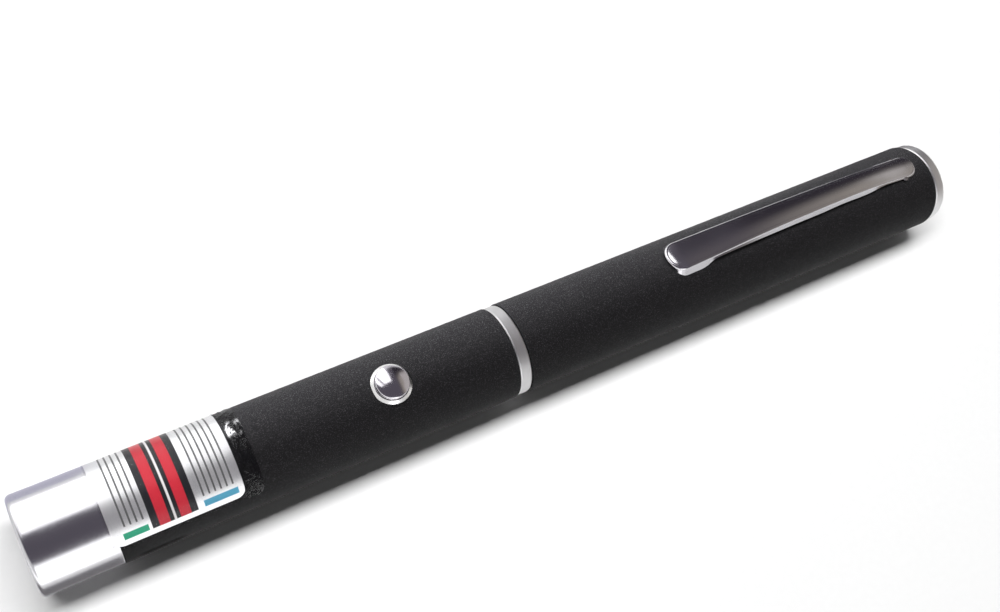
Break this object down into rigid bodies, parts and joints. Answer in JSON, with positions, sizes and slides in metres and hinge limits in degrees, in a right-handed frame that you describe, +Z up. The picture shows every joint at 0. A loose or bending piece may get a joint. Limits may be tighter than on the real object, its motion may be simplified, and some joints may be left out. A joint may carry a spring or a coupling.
{
  "type": "laser pointer",
  "caption": "Pen-shaped laser pointer with a push button, a sprung pocket clip and a rear half that unscrews for its dry cells.",
  "frame": {"origin": "on the table under the middle of the pen, lying on its side", "axes": "+X from the nozzle to the tail, +Z up out of the button, +Y to the right seen from the tail"},
  "size_m": [0.1534, 0.0142, 0.016],
  "materials": {
    "nozzle_chrome": "polished chrome plate over brass, fine handling scratches",
    "black_paint": "matt soft-feel black paint over brass tube",
    "ring_metal": "turned and brushed, bright bevels, bare thread",
    "clip_chrome": "polished chrome plate over spring steel",
    "bezel_chrome": "polished chrome plate",
    "button_chrome": "polished chrome plate on a moulded dome",
    "tail_chrome": "satin to polished chrome plate, turned end face",
    "label_foil": "satin silver foil sticker with plain colour bands",
    "clear_tape": "clear adhesive film, glossy, lightly wrinkled",
    "module_brass": "turned brass, lightly oxidised",
    "lens_glass": "polished, thin coating",
    "filter_glass": "tinted filter glass",
    "crystal_glass": "polished crystal with a violet cast",
    "gold_plate": "gold plated can and pins",
    "sleeve_film": "dark insulating film",
    "board_green": "solder mask over fibreglass",
    "chip_black": "moulded epoxy with tinned legs",
    "trimmer_white": "moulded ceramic-filled plastic",
    "tinned_metal": "tinned and stamped",
    "capacitor_amber": "moulded tantalum capacitor body",
    "resistor_black": "ceramic chip",
    "switch_black": "moulded switch body",
    "plunger_white": "moulded plunger",
    "spring_wire": "nickel plated spring wire",
    "cell_steel": "nickel plated steel can",
    "cell_jacket": "plain shrink sleeve",
    "cell_seal": "moulded seal"
  },
  "bodies": {
    "grip": {"nozzle": "nozzle_chrome", "front_barrel": "black_paint", "coupling_ring": "ring_metal", "label": "label_foil", "label_tape": "clear_tape", "module_housing": "module_brass", "lens_cell": "module_brass", "collimating_lens": "lens_glass", "infrared_filter": "filter_glass", "expander_lens": "lens_glass", "crystal_holder": "module_brass", "crystal_block": "crystal_glass", "pump_diode": "gold_plate", "diode_ring": "module_brass", "board_sleeve": "sleeve_film", "driver_board": "board_green", "driver_chip": "chip_black", "trimmer_base": "trimmer_white", "trimmer_rotor": "tinned_metal", "capacitor": "capacitor_amber", "resistors": "resistor_black", "switch_base": "switch_black", "switch_cover": "tinned_metal", "switch_legs": "tinned_metal", "snap_dome": "tinned_metal", "button_bezel": "bezel_chrome", "contact_board": "board_green", "contact_spring": "spring_wire"},
    "button": {"button": "button_chrome"},
    "plunger": {"switch_plunger": "plunger_white"},
    "cells": {"front_cell_can": "cell_steel", "front_cell_jacket": "cell_jacket", "front_cell_cap": "cell_steel", "front_cell_seal": "cell_seal", "rear_cell_can": "cell_steel", "rear_cell_jacket": "cell_jacket", "rear_cell_cap": "cell_steel", "rear_cell_seal": "cell_seal"},
    "spring": {"tail_spring": "spring_wire"},
    "rear_tube": {"rear_barrel": "black_paint", "tail_cap": "tail_chrome"},
    "clip": {"pocket_clip": "clip_chrome"}
  },
  "joints": [
    {"name": "button_press", "type": "slide", "parent": "grip", "child": "button", "axis": [0, 0, -1], "range_m": [0, 0.00035], "stiffness_N_per_m": 2000, "springref_m": -0.0004},
    {"name": "plunger_press", "type": "slide", "parent": "grip", "child": "plunger", "axis": [0, 0, -1], "range_m": [0, 0.00035], "deforming": ["snap_dome"]},
    {"name": "pull_off", "type": "slide", "parent": "grip", "child": "cells", "axis": [1, 0, 0], "range_m": [0, 0.04], "deforming": ["contact_spring"]},
    {"name": "tube_turn", "type": "hinge", "parent": "cells", "child": "spring", "pos_m": [0, 0, 0.007], "axis": [1, 0, 0], "range_deg": [0, 2161]},
    {"name": "thread_lead", "type": "slide", "parent": "spring", "child": "rear_tube", "axis": [1, 0, 0], "range_m": [0, 0.0045], "deforming": ["tail_spring"]},
    {"name": "clip_flex", "type": "hinge", "parent": "rear_tube", "child": "clip", "pos_m": [0.07157, 0.0014, 0.01396], "axis": [0, 0.9803, -0.1977], "range_deg": [0, 3], "stiffness_Nm_per_rad": 2.7}
  ],
  "couplings": [
    {"joint": "plunger_press", "follows": "button_press", "ratio": 1},
    {"joint": "tube_turn", "follows": "thread_lead", "rad_per_m": 8377.6}
  ]
}
